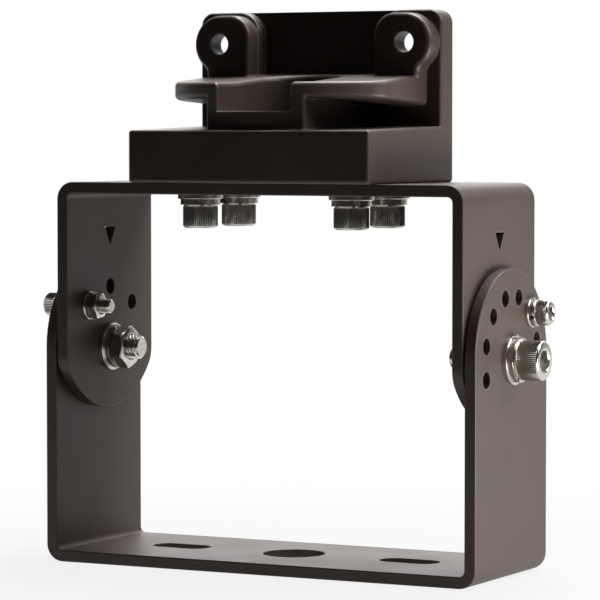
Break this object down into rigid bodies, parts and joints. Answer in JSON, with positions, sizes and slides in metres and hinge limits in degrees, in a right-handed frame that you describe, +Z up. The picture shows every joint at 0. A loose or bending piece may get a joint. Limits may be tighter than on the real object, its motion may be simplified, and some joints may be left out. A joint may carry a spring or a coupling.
{
  "type": "tilting yoke bracket",
  "caption": "Surface-mount yoke bracket: an upper U-strap tilts inside a lower one on clamped side pivots with index holes, and carries a cast adapter that an area light bolts to.",
  "frame": {"origin": "centre of the base plate's centre hole, on the base yoke's lower face", "axes": "+X across the yoke along the tilt pivots, +Y toward the adapter's back plate, +Z up from the mounting surface"},
  "size_m": [0.2244, 0.0764, 0.2287],
  "materials": {
    "bronze_strap": "dark bronze powder coat on steel",
    "bronze_casting": "dark bronze powder coat on cast aluminium",
    "stainless": "bright stainless"
  },
  "bodies": {
    "base": {"base_yoke": "bronze_strap", "index_outer_flat_washer_left": "stainless", "index_outer_flat_washer_right": "stainless", "index_outer_lock_washer_left": "stainless", "index_outer_lock_washer_right": "stainless", "index_screw_left": "stainless", "index_screw_right": "stainless", "pivot_inner_flat_washer_left": "stainless", "pivot_inner_flat_washer_right": "stainless", "pivot_inner_lock_washer_left": "stainless", "pivot_inner_lock_washer_right": "stainless", "pivot_nut_left": "stainless", "pivot_nut_right": "stainless", "pivot_outer_flat_washer_left": "stainless", "pivot_outer_flat_washer_right": "stainless", "pivot_outer_lock_washer_left": "stainless", "pivot_outer_lock_washer_right": "stainless", "pivot_screw_left": "stainless", "pivot_screw_right": "stainless"},
    "tilt_head": {"adapter_flat_washer_front_left": "stainless", "adapter_flat_washer_front_right": "stainless", "adapter_flat_washer_rear_left": "stainless", "adapter_flat_washer_rear_right": "stainless", "adapter_lock_washer_front_left": "stainless", "adapter_lock_washer_front_right": "stainless", "adapter_lock_washer_rear_left": "stainless", "adapter_lock_washer_rear_right": "stainless", "adapter_screw_front_left": "stainless", "adapter_screw_front_right": "stainless", "adapter_screw_rear_left": "stainless", "adapter_screw_rear_right": "stainless", "arm_adapter": "bronze_casting", "index_inner_flat_washer_left": "stainless", "index_inner_flat_washer_right": "stainless", "index_inner_lock_washer_left": "stainless", "index_inner_lock_washer_right": "stainless", "index_nut_left": "stainless", "index_nut_right": "stainless", "index_screw_end_left": "stainless", "index_screw_end_right": "stainless", "tilt_yoke": "bronze_strap"}
  },
  "joints": [
    {"name": "tilt", "type": "hinge", "parent": "base", "child": "tilt_head", "pos_m": [0, 0, 0.088], "axis": [1, 0, 0], "range_deg": [-90, 90]}
  ]
}
